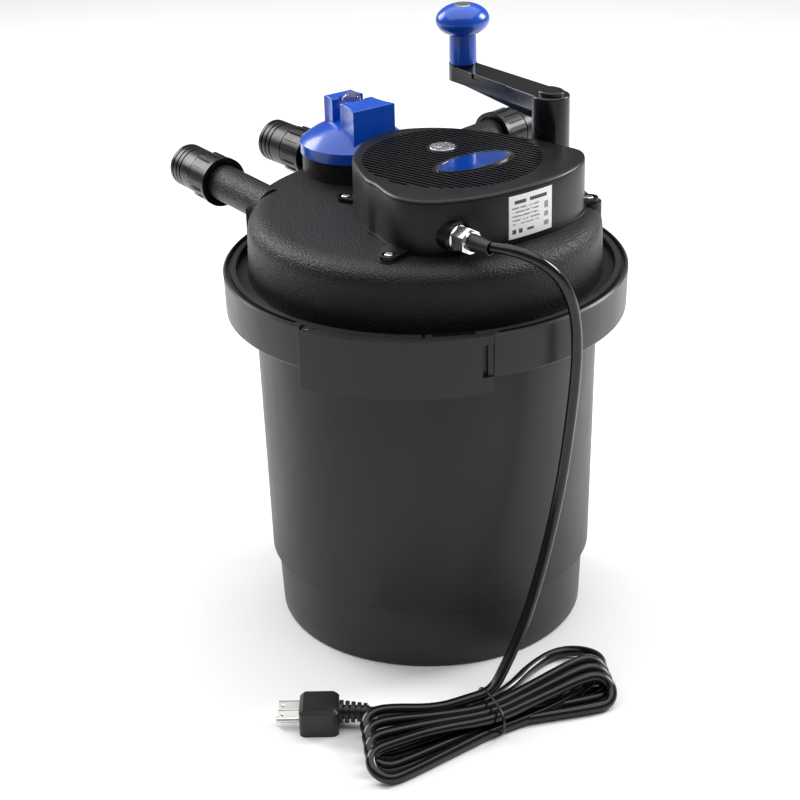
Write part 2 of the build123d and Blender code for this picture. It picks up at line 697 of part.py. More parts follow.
def make_base_plate():
    body = rod(108, 56, 61) + rod(17, 42, 57)
    body -= rod(12 + FIT, 40, 52.2)
    for angle in ROD_ANGLES:
        body -= rod(3.0, 50, 63, *polar(ROD_CIRCLE_R, angle))
    return body


def make_tie_rods():
    return [rod(3.0, 56, GEAR_Z[0] + 4, *polar(ROD_CIRCLE_R, a)) for a in ROD_ANGLES]


def make_scraper():
    """Ribbed bar beside the sponges that squeezes the dirt out of them."""
    body = block(9, 22, 64, 288, x=117.5)
    for k in range(14):
        body -= block(6, 24, 68 + 16 * k, 76 + 16 * k, x=112)
    arm = block(8, 22, 283, 292, x=121.5)
    return Rot(0, 0, -70) * (body + arm)


# ---------------------------------------------------------------- cord and plug
HANK_TOP = 26.0
HANK_POINTS = [
    (-51, -222), (-40, -212), (0, -197), (36, -186), (60, -152), (84, -113), (108, -104),
    (124, -115), (135, -140), (143, -172), (139, -190), (98, -214), (60, -234), (10, -272),
    (-28, -298), (-45, -296), (-51, -262),
]
TIE_AT, TIE_TURN = (44.0, -208.0), 22.0


def make_hank():
    outline = Polyline(*HANK_POINTS, close=True)
    body = prism(outline, 0.0, HANK_TOP)
    return body - hank_room()


def hank_room():
    """Groove round the hank's waist that the tie lies in."""
    x, y = TIE_AT
    slab = block(5, 70, -1, HANK_TOP + 1, x, y, TIE_TURN)
    inside = block(7, tie_width() - 4, 2.0, HANK_TOP - 2, x, y, TIE_TURN)
    return slab - inside


def tie_width():
    return 50.0


def make_tie():
    x, y = TIE_AT
    outer = block(4, tie_width(), 0.2, HANK_TOP, x, y, TIE_TURN)
    return outer - block(6, tie_width() - 4, 2.0, HANK_TOP - 2, x, y, TIE_TURN)


def unit_to(a, b):
    return (Vector(*b) - Vector(*a)).normalized()


def make_tube(name, points):
    """Cord as straight runs joined by tangent arcs, each as wide as it can be."""
    radii = []
    for i in range(1, len(points) - 1):
        before, here, after = (Vector(*p) for p in points[i - 1:i + 2])
        turn = (here - before).get_angle(after - here)
        shorter = min((here - before).length, (after - here).length)
        radii.append(0.45 * shorter / tan(radians(turn) / 2))
    path = FilletPolyline(*points, radius=radii)
    start = Plane(origin=points[0], z_dir=unit_to(points[0], points[1]))
    body = sweep(start * Circle(CORD_R), path=path)
    length = path.length
    print(name, "length", round(length, 1), "radii", [round(r) for r in radii])
    print(name, "volume over section x length", round(body.volume / (pi * CORD_R ** 2 * length), 4))
    return body


def gland_point(distance):
    x, y = polar(distance, GLAND_TURN)
    return (GLAND_POINT[0] + x, GLAND_POINT[1] + y, GLAND_POINT[2])


CORD_POINTS = [
    gland_point(8.0), gland_point(31.0), (59.5, -139.5, 361.5), (77, -143.5, 356.5), (93, -142.5, 345),
    (104, -139, 327), (110, -135.5, 303), (111, -133, 268), (107, -132, 222), (101, -134, 174),
    (92, -142, 131), (81, -154, 92), (69, -168, 60), (56, -183, 38), (45, -195, 22),
]
TAIL_POINTS = [(-10, -200, 7), (-32, -200.5, 8.5), (-52, -205, 12)]
PLUG_X, PLUG_Y, PLUG_Z = -87.0, -204.0, 12.0


def make_plug_body():
    body = Box(30, 33, 22)
    body = fillet(body.edges().filter_by(Axis.Z), 5)
    body = chamfer(body.edges().group_by(Axis.Z)[-1], 3.0)
    body = Pos(PLUG_X, PLUG_Y, PLUG_Z - 0.9) * body
    return body - prong_holes()


def prong_holes():
    cuts = None
    for piece in prong_list():
        cuts = piece if cuts is None else cuts + piece
    return cuts


def prong_list():
    """Two flat blades and the round earth pin, pointing along -X."""
    x = PLUG_X - 15
    pieces = []
    for side in (-6.35, 6.35):
        blade = Pos(x - 4.5, PLUG_Y + side, PLUG_Z + 3) * Box(23, 1.6, 6.4)
        pieces.append(blade - Pos(x - 12.6, PLUG_Y + side, PLUG_Z + 3) * (Rot(90, 0, 0) * Cylinder(1.6, 4)))
    pin = Pos(x - 5.5, PLUG_Y, PLUG_Z - 6.5) * (Rot(0, 90, 0) * Cylinder(2.4, 25))
    pieces.append(pin)
    return pieces


def make_plug_relief():
    """Ribbed sleeve between the plug and the cord."""
    plane = Plane(origin=(PLUG_X + 15, PLUG_Y, PLUG_Z), x_dir=(0, 0, 1), z_dir=(1, -0.06, 0))
    body = plane * (Pos(0, 0, 0) * Cylinder(5.4, 23, align=UP))
    for k in range(5):
        size = 9.0 - 0.5 * k
        body += lying(plane, size, 0.4 + 4.6 * k, 3.2 + 4.6 * k)
    return body


def main():
    save("bucket", make_bucket())
    save("lid_seal", make_lid_seal())
    save("lid", make_lid())
    save("clamp_band", make_band())
    save("latch_lever", make_latch_lever())
    save("latch_pin", make_latch_pin())
    for name in PORTS:
        save(f"{name}_tail", make_tail(name))
        save(f"{name}_nut", make_union_nut(name))
        save(f"{name}_seal", make_union_seal(name))
    save("lamp_cover", make_cover())
    save("cover_screws", *make_cover_screws())
    save("sight_window", make_sight_window())
    save("badge_rim", make_badge_rim())
    save("badge", make_badge())
    save("rating_label", make_rating_label())
    save("gland_body", make_gland_body())
    save("gland_nut", make_gland_nut())
    save("gland_boot", make_gland_boot())
    save("ballast", make_ballast())
    save("sleeve_seal", make_sleeve_seal())
    save("quartz_sleeve", make_quartz_sleeve())
    save("lamp_socket", make_lamp_socket())
    save("uv_lamp", make_uv_lamp())
    save("valve_dial", make_dial())
    save("dial_dome", make_dial_dome())
    save("valve_rotor", make_valve_rotor())
    save("valve_seal", make_valve_seal())
    save("crank_arm", make_crank_arm())
    save("crank_cap", make_crank_cap())
    save("crank_shaft", make_crank_shaft())
    save("knob_pin", make_knob_pin())
    save("crank_knob", make_knob())
    save("knob_insert", make_knob_insert())
    save("pinion", make_pinion())
    save("carousel_gear", make_carousel_gear())
    save("core_tube", make_core_tube())
    for level, (z_low, z_high) in zip(("lower", "middle", "upper"), FOAM_Z):
        save(f"{level}_foam", make_foam(z_low, z_high))
    save("base_plate", make_base_plate())
    save("tie_rods", *make_tie_rods())
    save("scraper_bar", make_scraper())
    save("power_cord", make_tube("power_cord", CORD_POINTS))
    save("plug_lead", make_tube("plug_lead", TAIL_POINTS))
    save("cord_hank", make_hank())
    save("cord_tie", make_tie())
    save("plug_body", make_plug_body())
    save("plug_prongs", *prong_list())
    save("plug_relief", make_plug_relief())
    print(len(saved), "pieces")


main()
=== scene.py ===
"""A pressurised pond filter: finishes, cord and small details built round its working model."""

from math import cos, radians, sin

import bmesh
import bpy
from mathutils import Matrix, Vector


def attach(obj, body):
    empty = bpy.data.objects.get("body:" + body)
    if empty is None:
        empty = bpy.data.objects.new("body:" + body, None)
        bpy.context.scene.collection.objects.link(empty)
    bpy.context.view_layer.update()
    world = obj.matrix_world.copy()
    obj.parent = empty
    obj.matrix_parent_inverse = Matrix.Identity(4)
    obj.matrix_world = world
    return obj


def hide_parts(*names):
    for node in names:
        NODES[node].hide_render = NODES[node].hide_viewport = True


bl_info = {
    "name": "Pond filter",
    "version": (1, 0, 0),
    "blender": (4, 5, 0),
    "location": "View3D > Sidebar > Pond filter",
    "description": "Finishes and details of a pressurised pond filter",
    "category": "Object",
}

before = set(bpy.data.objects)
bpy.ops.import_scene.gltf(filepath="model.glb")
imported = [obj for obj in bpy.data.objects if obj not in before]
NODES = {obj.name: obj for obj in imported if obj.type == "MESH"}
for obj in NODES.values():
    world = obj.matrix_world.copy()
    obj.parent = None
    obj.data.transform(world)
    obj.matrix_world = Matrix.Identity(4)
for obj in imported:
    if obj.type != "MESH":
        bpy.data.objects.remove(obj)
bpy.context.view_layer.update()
MM = 0.001
WIRE_SIDES = 10
SOFT_BLACK = (0.012, 0.012, 0.012)
STEEL = (0.55, 0.55, 0.56)


# ------------------------------------------------------------------ settings
class FilterSizes(bpy.types.PropertyGroup):
    cord_diameter: bpy.props.FloatProperty(
        name="Cord diameter", description="Outside of the mains cord's sheath",
        default=8.5 * MM, unit="LENGTH",
    )
    tie_wire: bpy.props.FloatProperty(
        name="Tie wire", description="Thickness of the coated wire round the hank",
        default=2.2 * MM, unit="LENGTH",
    )
    hank_turns: bpy.props.IntProperty(
        name="Turns in the hank", description="Full turns held by the tie", default=4, min=1,
    )
    grain_size: bpy.props.FloatProperty(
        name="Grain", description="Distance between pebbles of the lid's leather grain",
        default=1.3 * MM, unit="LENGTH",
    )


class FilterColours(bpy.types.PropertyGroup):
    canister: bpy.props.FloatVectorProperty(
        name="Canister", description="Dark grey of the bucket and its band",
        subtype="COLOR", size=3, default=(0.019, 0.0193, 0.0200),
    )
    black: bpy.props.FloatVectorProperty(
        name="Black", description="Black of the lid, the housing and the crank",
        subtype="COLOR", size=3, default=(0.0035, 0.0035, 0.0037),
    )
    blue: bpy.props.FloatVectorProperty(
        name="Blue", description="Royal blue of the dial, the badge and the knob",
        subtype="COLOR", size=3, default=(0.003, 0.068, 0.47),
    )


def sizes():
    return bpy.context.scene.pond_filter_sizes


def colours():
    return bpy.context.scene.pond_filter_colours


# ------------------------------------------------------------------ finishes
class Finish:
    """A material under construction: its shader and the links that feed it."""

    def __init__(self, name):
        self.material = bpy.data.materials.new(name)
        self.material.use_nodes = True
        self.tree = self.material.node_tree
        self.shader = self.tree.nodes["Principled BSDF"]
        self.place = self.add("ShaderNodeTexCoord").outputs["Object"]

    def add(self, kind, **settings):
        node = self.tree.nodes.new(kind)
        for key, value in settings.items():
            setattr(node, key, value)
        return node

    def join(self, output, socket):
        self.tree.links.new(output, socket)

    def set(self, **values):
        for key, value in values.items():
            self.shader.inputs[key.replace("_", " ")].default_value = value
        return self

    def noise(self, scale, detail=3.0, roughness=0.55, stretch=None, place=None):
        node = self.add("ShaderNodeTexNoise")
        node.inputs["Scale"].default_value = scale
        node.inputs["Detail"].default_value = detail
        node.inputs["Roughness"].default_value = roughness
        source = place or self.place
        if stretch:
            mapping = self.add("ShaderNodeMapping")
            mapping.inputs["Scale"].default_value = stretch
            self.join(source, mapping.inputs["Vector"])
            source = mapping.outputs["Vector"]
        self.join(source, node.inputs["Vector"])
        return node.outputs["Fac"]

    def cells(self, scale, feature="F1", smooth=0.0, place=None):
        node = self.add("ShaderNodeTexVoronoi", feature=feature)
        node.inputs["Scale"].default_value = scale
        if feature == "SMOOTH_F1":
            node.inputs["Smoothness"].default_value = smooth
        self.join(place or self.place, node.inputs["Vector"])
        return node.outputs["Distance"]

    def ranged(self, value, low, high, to_low=0.0, to_high=1.0):
        node = self.add("ShaderNodeMapRange")
        limits = {"From Min": low, "From Max": high, "To Min": to_low, "To Max": to_high}
        for socket, number in limits.items():
            node.inputs[socket].default_value = number
        self.join(value, node.inputs["Value"])
        return node.outputs["Result"]

    def maths(self, operation, a, b):
        node = self.add("ShaderNodeMath", operation=operation)
        for socket, value in zip(node.inputs, (a, b)):
            if isinstance(value, (int, float)):
                socket.default_value = value
            else:
                self.join(value, socket)
        return node.outputs["Value"]

    def blend(self, factor, colour_a, colour_b):
        node = self.add("ShaderNodeMix", data_type="RGBA")
        self.join(factor, node.inputs["Factor"])
        for socket, value in ((node.inputs[6], colour_a), (node.inputs[7], colour_b)):
            if isinstance(value, (tuple, list)):
                socket.default_value = (*value[:3], 1.0)
            else:
                self.join(value, socket)
        return node.outputs[2]

    def colour(self, output):
        self.join(output, self.shader.inputs["Base Color"])
        return self

    def rough(self, output):
        self.join(output, self.shader.inputs["Roughness"])
        return self

    def bump(self, *layers):
        """Relief from (height, strength, distance) layers, one over the other."""
        normal = None
        for height, strength, distance in layers:
            node = self.add("ShaderNodeBump")
            node.inputs["Strength"].default_value = strength
            node.inputs["Distance"].default_value = distance
            self.join(height, node.inputs["Height"])
            if normal:
                self.join(normal, node.inputs["Normal"])
            normal = node.outputs["Normal"]
        self.join(normal, self.shader.inputs["Normal"])
        return self


def shade(colour, factor):
    return tuple(channel * factor for channel in colour)


def moulded(name, colour, rough, spread=0.05, flow=9.0, skin=0.12, fine=900.0, gloss=0.5):
    """Moulded plastic: faint flow marks in the colour and a fine satin skin."""
    finish = Finish(name).set(IOR=1.5, Specular_IOR_Level=gloss)
    drift = finish.noise(flow, 4.0, 0.6)
    finish.colour(finish.blend(drift, shade(colour, 0.86), shade(colour, 1.16)))
    smears = finish.noise(flow * 3.1, 5.0, 0.65, stretch=(1.0, 1.0, 0.35))
    finish.rough(finish.ranged(smears, 0.3, 0.7, rough - spread, rough + spread))
    return finish.bump(
        (finish.noise(fine, 2.0), skin, 0.00012),
        (finish.noise(38.0, 2.0), 0.06, 0.0006),
    )


def canister_finish():
    finish = moulded("canister_satin", tuple(colours().canister), 0.42, 0.06, 6.0, 0.10, 1200.0, 0.32)
    return finish.material


def band_finish():
    finish = moulded("band_satin", tuple(colours().canister), 0.36, 0.05, 11.0, 0.08, 1100.0, 0.36)
    return finish.material


def lid_finish():
    """Black moulding with a leather grain: flat pebbles with narrow valleys between."""
    finish = Finish("lid_leather_grain").set(IOR=1.5, Specular_IOR_Level=0.36)
    black = tuple(colours().black)
    drift = finish.noise(14.0, 4.0)
    finish.colour(finish.blend(drift, shade(black, 0.85), shade(black, 1.25)))
    scale = 1.0 / sizes().grain_size
    wobble = finish.add("ShaderNodeTexNoise")
    wobble.inputs["Scale"].default_value = scale * 0.6
    finish.join(finish.place, wobble.inputs["Vector"])
    bent = finish.add("ShaderNodeVectorMath", operation="MULTIPLY_ADD")
    finish.join(wobble.outputs["Color"], bent.inputs[0])
    bent.inputs[1].default_value = (0.6 * MM, 0.6 * MM, 0.6 * MM)
    finish.join(finish.place, bent.inputs[2])
    pebbles = finish.cells(scale, "SMOOTH_F1", 0.6, bent.outputs["Vector"])
    relief = finish.ranged(pebbles, 0.15, 0.75, 1.0, 0.0)
    finish.rough(finish.ranged(relief, 0.0, 1.0, 0.50, 0.36))
    return finish.bump((finish.noise(3000.0, 1.0), 0.10, 0.0001), (relief, 0.75, 0.00045)).material


def housing_finish():
    finish = moulded("housing_satin", tuple(colours().black), 0.36, 0.05, 16.0, 0.22, 1500.0, 0.34)
    return finish.material


def crank_finish():
    return moulded("crank_semi_gloss", tuple(colours().black), 0.24, 0.05, 18.0, 0.05, 700.0).material


def port_finish():
    finish = moulded("port_semi_gloss", tuple(colours().black), 0.33, 0.05, 22.0, 0.06, 800.0, 0.4)
    return finish.material


def blue_finish():
    finish = moulded("blue_gloss", tuple(colours().blue), 0.24, 0.05, 20.0, 0.04, 600.0)
    return finish.set(Coat_Weight=0.25, Coat_Roughness=0.08).material


def badge_finish():
    """Deep blue under a glossy domed film."""
    finish = moulded("badge_film", shade(tuple(colours().blue), 0.5), 0.12, 0.03, 20.0, 0.02, 500.0)
    return finish.set(Coat_Weight=0.6, Coat_Roughness=0.03).material


def facets_finish():
    """Bright faceted reflector seen through a clear window; painted glints lighten the base colour
    round the middle of each facet.
    """
    finish = Finish("faceted_window").set(Metallic=0.85, Coat_Weight=0.8, Coat_Roughness=0.03)
    facets = finish.cells(260.0)
    # painted glints: the base colour is lighter round each cell's centre, standing in for facets
    # catching the light
    painted_glints = finish.ranged(facets, 0.15, 0.6)
    finish.colour(finish.blend(painted_glints, (0.90, 0.91, 0.93), (0.45, 0.46, 0.48)))
    finish.rough(finish.ranged(facets, 0.1, 0.7, 0.10, 0.30))
    return finish.bump((facets, 0.8, 0.0012)).material


def white_finish():
    return moulded("natural_white", (0.72, 0.72, 0.69), 0.45, 0.05, 20.0, 0.08, 700.0).material


LABEL_ROW, LABEL_TEXT = 3.2, (-18.5, 8.0, -6.0, 8.5)
LABEL_MARKS = (
    # left, right, bottom and top from the label's middle in mm, darkness
    (-16.0, -5.0, 10.2, 13.0, 1.0), (-1.5, 15.5, 10.4, 13.2, 1.0),
    (-18.0, -14.5, -13.0, -9.6, 1.0), (-12.0, -8.5, -13.0, -9.6, 1.0), (-4.0, 2.5, -12.4, -10.4, 1.0),
    (13.0, 17.0, 1.0, 6.5, 0.7), (13.0, 17.0, -5.5, -1.6, 0.7), (12.6, 17.6, -12.6, -8.8, 0.7),
)


def label_finish():
    """White film with grey bars in rows, a dark heading and square marks."""
    finish = Finish("printed_label").set(Roughness=0.38)
    sheet = finish.add("ShaderNodeMapping", vector_type="TEXTURE")
    sheet.inputs["Location"].default_value = [value * MM for value in LABEL_MIDDLE]
    sheet.inputs["Rotation"].default_value = (radians(90), 0.0, radians(LABEL_TURN))
    finish.join(finish.place, sheet.inputs["Vector"])
    split = finish.add("ShaderNodeSeparateXYZ")
    finish.join(sheet.outputs["Vector"], split.inputs["Vector"])
    across, up = split.outputs["X"], split.outputs["Y"]

    def window(left, right, bottom, top):
        inside = finish.maths("GREATER_THAN", across, left * MM)
        for test, value, limit in (
            ("LESS_THAN", across, right), ("GREATER_THAN", up, bottom), ("LESS_THAN", up, top),
        ):
            inside = finish.maths("MULTIPLY", inside, finish.maths(test, value, limit * MM))
        return inside

    rows = finish.maths("FRACT", finish.maths("MULTIPLY", up, 1 / (LABEL_ROW * MM)), 0.0)
    letters = finish.noise(320.0, 1.0, 0.5, (1.0, 1.9, 1.0), sheet.outputs["Vector"])
    ink = finish.maths("LESS_THAN", rows, 0.42)
    ink = finish.maths("MULTIPLY", ink, finish.maths("GREATER_THAN", letters, 0.44))
    ink = finish.maths("MULTIPLY", finish.maths("MULTIPLY", ink, window(*LABEL_TEXT)), 0.75)
    for *edges, darkness in LABEL_MARKS:
        ink = finish.maths("MAXIMUM", ink, finish.maths("MULTIPLY", window(*edges), darkness))
    finish.colour(finish.blend(ink, (0.96, 0.96, 0.96), (0.04, 0.04, 0.04)))
    return finish.material


def metal(name, colour, rough):
    """Plated or plain metal with faint turning marks."""
    finish = Finish(name).set(Metallic=1.0)
    marks = finish.noise(600.0, 2.0, 0.5, stretch=(1.0, 1.0, 14.0))
    finish.colour(finish.blend(marks, shade(colour, 0.93), shade(colour, 1.05)))
    finish.rough(finish.ranged(marks, 0.3, 0.7, rough, rough + 0.10))
    return finish.bump((marks, 0.05, 0.00005)).material


def rubber(name, colour, rough, skin=0.15, fine=700.0):
    finish = Finish(name).set(IOR=1.48)
    drift = finish.noise(60.0, 3.0)
    finish.colour(finish.blend(drift, shade(colour, 0.85), shade(colour, 1.3)))
    finish.rough(finish.ranged(drift, 0.35, 0.65, rough - 0.04, rough + 0.06))
    return finish.bump((finish.noise(fine, 2.0), skin, 0.0001)).material


def clear(name, tint, rough):
    finish = Finish(name).set(IOR=1.47, Transmission_Weight=0.95)
    haze = finish.noise(90.0, 2.0)
    finish.colour(finish.blend(haze, shade(tint, 0.96), tint))
    finish.rough(finish.ranged(haze, 0.3, 0.7, rough, rough + 0.04))
    return finish.material


def sponge(name, colour, pore):
    finish = Finish(name).set(IOR=1.4)
    holes = finish.cells(1.0 / pore, "F1")
    pore_depth_and_shade = finish.ranged(holes, 0.1, 0.6, 0.0, 1.0)
    # painted shade: the pores are darkened to about a third of the foam's colour; the same mask also
    # gives the pores their relief
    finish.colour(finish.blend(pore_depth_and_shade, shade(colour, 0.35), shade(colour, 1.1)))
    finish.set(Roughness=0.9, Sheen_Weight=0.2)
    return finish.bump((pore_depth_and_shade, 0.9, pore * 0.5)).material


# ------------------------------------------------------------------ shaping helpers
def dress(material, *names):
    """Give working-model pieces a finish."""
    for name in names:
        slots = NODES[name].data.materials
        slots.clear()
        slots.append(material)


def new_piece(name, mesh, material, body):
    piece = bpy.data.objects.new(name, mesh)
    bpy.context.scene.collection.objects.link(piece)
    piece.data.materials.clear()
    piece.data.materials.append(material)
    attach(piece, body)
    return piece


def polished(name, node, material, body, angle=35.0):
    """A merged copy of a working piece with smooth round faces and crisp edges."""
    shape = bmesh.new()
    shape.from_mesh(NODES[node].data)
    bmesh.ops.remove_doubles(shape, verts=shape.verts, dist=1e-6)
    for face in shape.faces:
        face.smooth = True
    for edge in shape.edges:
        if len(edge.link_faces) == 2 and edge.calc_face_angle(0.0) > radians(angle):
            edge.smooth = False
    mesh = bpy.data.meshes.new(name)
    shape.to_mesh(mesh)
    shape.free()
    piece = new_piece(name, mesh, material, body)
    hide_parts(node)
    return piece


def wire_ring(name, points, thick, material, body):
    """Closed ring of round wire that follows points."""
    shape = bmesh.new()
    count, rings = len(points), []
    for index, point in enumerate(points):
        ahead = points[(index + 1) % count] - points[index - 1]
        turn = ahead.to_track_quat("Z", "Y").to_matrix().to_4x4()
        made = bmesh.ops.create_circle(
            shape, segments=WIRE_SIDES, radius=thick / 2, matrix=Matrix.Translation(point) @ turn,
        )
        rings.append([edge for edge in shape.edges if edge.verts[0] in made["verts"]])
    for index in range(count):
        bmesh.ops.bridge_loops(shape, edges=rings[index] + rings[(index + 1) % count])
    for face in shape.faces:
        face.smooth = True
    return new_piece(name, to_mesh(shape, name), material, body)


def to_mesh(shape, name):
    mesh = bpy.data.meshes.new(name)
    bmesh.ops.recalc_face_normals(shape, faces=shape.faces)
    shape.to_mesh(mesh)
    shape.free()
    return mesh


# ------------------------------------------------------------------ the cord's route
GLAND = Vector((21.5, -107.5, 360.0))
GLAND_TURN = -46.0
HANGING = [
    (59.5, -139.5, 361.5), (77, -143.5, 356.5), (93, -142.5, 345), (104, -139, 327),
    (110, -135.5, 303), (111, -133, 268), (107, -132, 222), (101, -134, 174),
    (92, -142, 131), (81, -154, 92), (69, -168, 60), (56, -183, 38), (45, -195, 22),
]
LEAD = [(-10, -200, 7), (-32, -200.5, 8.5), (-52, -205, 12)]
LOOSE_LOOP = [
    (74, -205, 5), (104, -183, 6), (130, -158, 12), (134, -132, 11), (120, -112, 6), (98, -112, 5),
    (76, -136, 5), (60, -166, 6), (38, -187, 6), (10, -197, 5),
]
LABEL_MIDDLE, LABEL_TURN = (79.2, -78.0, 366.0), 37.6
TIE_MIDDLE, TIE_HEIGHT, TIE_TURN = (44.0, -208.0), 13.2, 22.0
TIE_HALF_WIDTH, TIE_HALF_HEIGHT, TIE_STEPS = 23.0, 12.0, 48
FLOOR_Z = 4.4               # centre of a cord that lies on the floor
LAYER = 8.7                 # one cord's thickness, centre to centre


def gland_point(distance):
    turn = radians(GLAND_TURN)
    return GLAND + Vector((cos(turn), sin(turn), 0.0)) * distance


def fold(tip, waist, reach, lean):
    """Points round one end of a turn, from its upper run down to its lower run."""
    tip, waist = Vector(tip), Vector(waist)
    out = Vector((tip.x - waist.x, tip.y - waist.y, 0.0)).normalized()
    across = Vector((-out.y, out.x, 0.0)) * (1 if out.x > 0 else -1)
    across = across * cos(radians(lean)) + Vector((0, 0, sin(radians(lean))))
    corners = ((1.75, 1.0), (0.586, 1.0), (0.0, 0.414), (0.0, -0.414), (0.586, -1.0), (1.75, -1.0))
    return [tip - out * back * reach + across * side * reach for back, side in corners]


def between(a, b, lift=0.0):
    return (Vector(a) + Vector(b)) / 2 + Vector((0, 0, lift))


def hank_route(turns):
    """Flat turns that lean on each other like shingles, tied at the waist."""
    route = [Vector((26, -204, 21)), Vector((2, -212, 18))]
    high = FLOOR_Z + LAYER + 1.0
    for turn in range(turns):
        low_waist = Vector((44, -196 - LAYER * turn, FLOOR_Z))
        high_waist = Vector((44, -205 - LAYER * turn, high))
        left = fold((-51 + 2.0 * turn, -227 - 17.0 * turn, FLOOR_Z + 6.5), low_waist, 13.0, 30.0)
        route += [*left, between(left[-1], low_waist), low_waist]
        if turn == turns - 1:
            break
        right = fold((133 + 2.0 * turn, -152 - 13.0 * turn, FLOOR_Z + 7.9), low_waist, 12.0, 41.0)[::-1]
        route += [between(low_waist, right[0]), *right, between(right[-1], high_waist)]
        following = high_waist + Vector((-42, -13, 1.5))
        route += [high_waist, following]
    return route


def tie_loop():
    """Egg-shaped loop of wire that hugs the hank at its waist."""
    turn = radians(TIE_TURN)
    aside = Vector((-sin(turn), cos(turn), 0.0))
    middle = Vector((*TIE_MIDDLE, TIE_HEIGHT))
    points = []
    for step in range(TIE_STEPS):
        angle = radians(360.0 / TIE_STEPS * step)
        swell = 1.0 - 0.10 * abs(sin(2 * angle))
        out, rise = TIE_HALF_WIDTH * cos(angle) / swell, TIE_HALF_HEIGHT * sin(angle) / swell
        rise = min(TIE_HALF_HEIGHT + 0.2, max(-TIE_HALF_HEIGHT, rise))
        points.append((middle + aside * out + Vector((0, 0, rise))) * MM)
    return points


class FILTER_OT_cord(bpy.types.Operator):
    """Mains cord from the gland through its hank to the plug, with its tie"""

    bl_idname = "filter.cord"
    bl_label = "Cord and hank"

    def execute(self, context):
        thick = sizes().cord_diameter
        route = [gland_point(8.0), gland_point(31.0), *HANGING, *hank_route(sizes().hank_turns)]
        route += [*LOOSE_LOOP, *LEAD]
        data = bpy.data.curves.new("mains_cord", "CURVE")
        data.dimensions = "3D"
        data.bevel_depth = thick / 2
        data.bevel_resolution = 5
        data.resolution_u = 8
        line = data.splines.new("NURBS")
        line.points.add(len(route) - 1)
        for point, place in zip(line.points, route):
            point.co = (*(Vector(place) * MM), 1.0)
        line.order_u = 3
        line.use_endpoint_u = True
        data.materials.append(rubber("cord_sheath", (0.0045, 0.0045, 0.0047), 0.15, 0.05, 900.0))
        cord = bpy.data.objects.new("mains_cord", data)
        context.scene.collection.objects.link(cord)
        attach(cord, "canister")
        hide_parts("power_cord", "plug_lead", "cord_hank")
        coated = rubber("tie_coating", (0.010, 0.010, 0.010), 0.22)
        loop = wire_ring("hank_tie", tie_loop(), sizes().tie_wire, coated, "canister")
        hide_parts("cord_tie")
        moulding = rubber("plug_moulding", (0.006, 0.006, 0.0065), 0.38, 0.20, 900.0)
        dress(moulding, "plug_body", "plug_relief")
        dress(metal("plug_nickel", (0.78, 0.77, 0.74), 0.18), "plug_prongs")
        return {"FINISHED"}


class FILTER_OT_canister(bpy.types.Operator):
    """Bucket, clamp band and latch"""

    bl_idname = "filter.canister"
    bl_label = "Canister and band"

    def execute(self, context):
        polished("bucket_shell", "bucket", canister_finish(), "canister")
        polished("band_ring", "clamp_band", band_finish(), "canister")
        polished("latch_plate", "latch_lever", band_finish(), "latch")
        dress(metal("pin_steel", STEEL, 0.3), "latch_pin")
        dress(rubber("seal_rubber", SOFT_BLACK, 0.5), "lid_seal")
        return {"FINISHED"}


class FILTER_OT_lid(bpy.types.Operator):
    """Lid with its leather grain"""

    bl_idname = "filter.lid"
    bl_label = "Lid"

    def execute(self, context):
        polished("lid_dome", "lid", lid_finish(), "canister")
        return {"FINISHED"}


class FILTER_OT_ports(bpy.types.Operator):
    """Union nuts and hose tails"""

    bl_idname = "filter.ports"
    bl_label = "Hose ports"

    def execute(self, context):
        plastic = port_finish()
        washer = rubber("washer_rubber", SOFT_BLACK, 0.5)
        for port in ("inlet", "return", "waste"):
            polished(f"{port}_hose_tail", f"{port}_tail", plastic, "canister")
            polished(f"{port}_union", f"{port}_nut", plastic, f"{port}_union")
            dress(washer, f"{port}_seal")
        return {"FINISHED"}


class FILTER_OT_lamp_housing(bpy.types.Operator):
    """Lamp housing, its window, badge, label, screws and gland"""

    bl_idname = "filter.lamp_housing"
    bl_label = "Lamp housing"

    def execute(self, context):
        polished("lamp_housing", "lamp_cover", housing_finish(), "canister", 30)
        chrome = metal("bright_plating", (0.90, 0.90, 0.90), 0.07)
        dark_chrome = metal("badge_plating", (0.30, 0.30, 0.31), 0.16)
        polished("gland_shell", "gland_body", chrome, "canister")
        polished("gland_hexagon", "gland_nut", chrome, "canister")
        polished("badge_frame", "badge_rim", dark_chrome, "canister")
        polished("badge_oval", "badge", badge_finish(), "canister")
        zinc = metal("screw_steel", (0.7, 0.7, 0.7), 0.22)
        polished("housing_screws", "cover_screws", zinc, "canister")
        polished("sight_glass", "sight_window", facets_finish(), "canister")
        sleeve = rubber("sleeve_rubber", (0.011, 0.011, 0.011), 0.36)
        polished("gland_sleeve", "gland_boot", sleeve, "canister")
        polished("rating_plate", "rating_label", label_finish(), "canister")
        dress(housing_finish(), "ballast")
        return {"FINISHED"}


class FILTER_OT_dial(bpy.types.Operator):
    """Blue valve dial with its clear dome"""

    bl_idname = "filter.dial"
    bl_label = "Valve dial"

    def execute(self, context):
        polished("dial_cap", "valve_dial", blue_finish(), "dial")
        lens = clear("dome_clear", (0.93, 0.95, 0.97), 0.03)
        polished("dial_lens", "dial_dome", lens, "dial")
        dress(port_finish(), "valve_rotor")
        dress(rubber("valve_rubber", SOFT_BLACK, 0.5), "valve_seal")
        return {"FINISHED"}


class FILTER_OT_crank(bpy.types.Operator):
    """Crank arm, its cap and its blue knob"""

    bl_idname = "filter.crank"
    bl_label = "Crank"

    def execute(self, context):
        black = crank_finish()
        polished("crank_moulding", "crank_arm", black, "crank", 40)
        polished("crank_hub_cap", "crank_cap", black, "crank", 40)
        polished("knob_grip", "crank_knob", blue_finish(), "knob", 50)
        silver = metal("knob_silver", (0.8, 0.8, 0.8), 0.2)
        polished("knob_disc", "knob_insert", silver, "knob")
        steel = metal("shaft_steel", STEEL, 0.3)
        dress(steel, "crank_shaft", "knob_pin")
        return {"FINISHED"}


